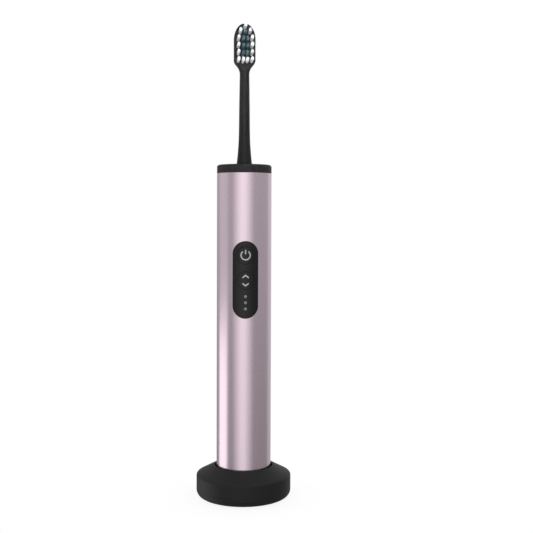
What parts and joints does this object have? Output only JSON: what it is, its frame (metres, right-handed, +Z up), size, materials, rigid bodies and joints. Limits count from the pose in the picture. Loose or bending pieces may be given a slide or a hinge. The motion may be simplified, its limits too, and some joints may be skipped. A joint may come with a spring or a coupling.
{
  "type": "electric toothbrush on charger",
  "caption": "Cylindrical sonic toothbrush with a slim brush head, side control panel and buttons, standing in the well of a round inductive charging puck.",
  "frame": {"origin": "on the table plane under the centre of the charging puck", "axes": "+Z up along the brush's own axis; the control panel and the bristles face -Y; +X is to the right seen from the panel side"},
  "size_m": [0.0522, 0.0522, 0.2604],
  "materials": {
    "black_plastic": "satin moulded black",
    "black_gloss": "smooth black",
    "head_black": "satin moulded black",
    "anodised_pink": "satin anodised, pale pink",
    "dark_rubber": "matt",
    "grey_rubber": "matt",
    "steel": "plain steel",
    "bush_bronze": "sintered bronze",
    "copper_wire": "enamelled copper",
    "ferrite": "sintered, dark grey",
    "lamination": "stacked sheet",
    "magnet": "nickel plated",
    "bobbin_plastic": "moulded, off-white",
    "frame_plastic": "moulded, light grey",
    "circuit_board": "green solder resist",
    "chip_plastic": "moulded, dark",
    "lead_red": "insulation",
    "cell_sleeve": "shrunk sleeve, blue-green",
    "foam": "open foam",
    "nickel_strip": "plain",
    "diode": "moulded, clear-white",
    "clear_guide": "clear acrylic",
    "insert_plastic": "moulded grey",
    "nylon_white": "drawn nylon filament",
    "nylon_blue": "drawn nylon filament"
  },
  "bodies": {
    "charger": {"charger_top_shell": "black_plastic", "charger_bottom_cover": "black_plastic", "foot_ring": "dark_rubber", "charger_screws": "steel", "ferrite_core": "ferrite", "tx_bobbin": "bobbin_plastic", "tx_coil": "copper_wire", "charger_board": "circuit_board", "charger_parts": "chip_plastic", "inlet_shell": "steel", "inlet_tongue": "chip_plastic", "send_leads": "lead_red"},
    "handle": {"barrel": "anodised_pink", "top_cap": "black_plastic", "cap_ring": "dark_rubber", "shaft_seal": "dark_rubber", "end_cap": "black_plastic", "end_ring": "dark_rubber", "rx_bobbin": "bobbin_plastic", "rx_coil": "copper_wire", "coil_leads": "lead_red", "motor_leads": "lead_red", "chassis": "frame_plastic", "battery_cell": "cell_sleeve", "battery_pads": "foam", "battery_tabs": "nickel_strip", "motor_can": "steel", "motor_front_plate": "steel", "motor_rear_plate": "steel", "front_bearing": "bush_bronze", "rear_bearing": "bush_bronze", "stator_core": "lamination", "stator_coils": "copper_wire", "motor_dampers": "grey_rubber", "main_board": "circuit_board", "board_parts": "chip_plastic", "indicator_lights": "diode", "light_guides": "clear_guide", "panel_frame": "black_gloss", "panel_gasket": "dark_rubber", "power_switch": "chip_plastic", "mode_switch": "chip_plastic"},
    "drive": {"drive_shaft": "steel", "rotor_core": "steel", "rotor_magnets": "magnet"},
    "brush_head": {"brush_head_shell": "head_black", "shaft_insert": "insert_plastic", "shaft_clip": "steel", "tufts_white": "nylon_white", "tufts_blue": "nylon_blue", "tuft_anchors": "bush_bronze"},
    "power_button": {"power_button": "black_gloss", "power_plunger": "insert_plastic"},
    "mode_button": {"mode_button": "black_gloss", "mode_plunger": "insert_plastic"}
  },
  "joints": [
    {"name": "handle_lift", "type": "slide", "parent": "charger", "child": "handle", "axis": [0, 0, 1], "range_m": [0, 0.06]},
    {"name": "shaft_swing", "type": "hinge", "parent": "handle", "child": "drive", "pos_m": [0, 0, 0.17], "axis": [0, 0, 1], "range_deg": [-5, 5], "stiffness_Nm_per_rad": 0.01},
    {"name": "head_pull", "type": "slide", "parent": "drive", "child": "brush_head", "axis": [0, 0, 1], "range_m": [0, 0.03]},
    {"name": "power_press", "type": "slide", "parent": "handle", "child": "power_button", "axis": [0, 1, 0], "range_m": [0, 0.00035], "stiffness_N_per_m": 4000},
    {"name": "mode_press", "type": "slide", "parent": "handle", "child": "mode_button", "axis": [0, 1, 0], "range_m": [0, 0.00035], "stiffness_N_per_m": 4000}
  ]
}
